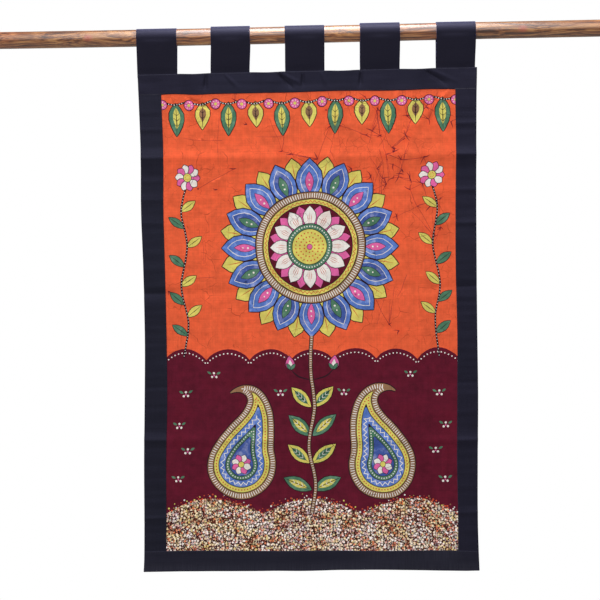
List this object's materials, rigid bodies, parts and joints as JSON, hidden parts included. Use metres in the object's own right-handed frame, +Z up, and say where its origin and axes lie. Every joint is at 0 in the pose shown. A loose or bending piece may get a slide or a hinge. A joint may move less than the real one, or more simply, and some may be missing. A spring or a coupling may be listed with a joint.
{
  "type": "batik wall hanging with wooden rod",
  "caption": "Batik cotton wall hanging with a navy cloth border, hung by cloth tabs from a round wooden rod.",
  "frame": {"origin": "middle of the rod's axis, where its wall brackets carry it", "axes": "+X along the rod to the viewer's right, +Z up, and the cloth's face towards -Y"},
  "size_m": [1.1, 0.031, 0.9055],
  "materials": {
    "rod_wood": "varnished",
    "batik_cotton": "wax-resist dyed cotton",
    "navy_cotton": "plain dyed cotton"
  },
  "bodies": {
    "root": {"rod": "rod_wood", "batik_panel": "batik_cotton", "heading_strip": "navy_cotton", "hem_strip": "navy_cotton", "left_strip": "navy_cotton", "right_strip": "navy_cotton", "tab_1": "navy_cotton", "tab_2": "navy_cotton", "tab_3": "navy_cotton", "tab_4": "navy_cotton", "tab_5": "navy_cotton"}
  },
  "joints": []
}
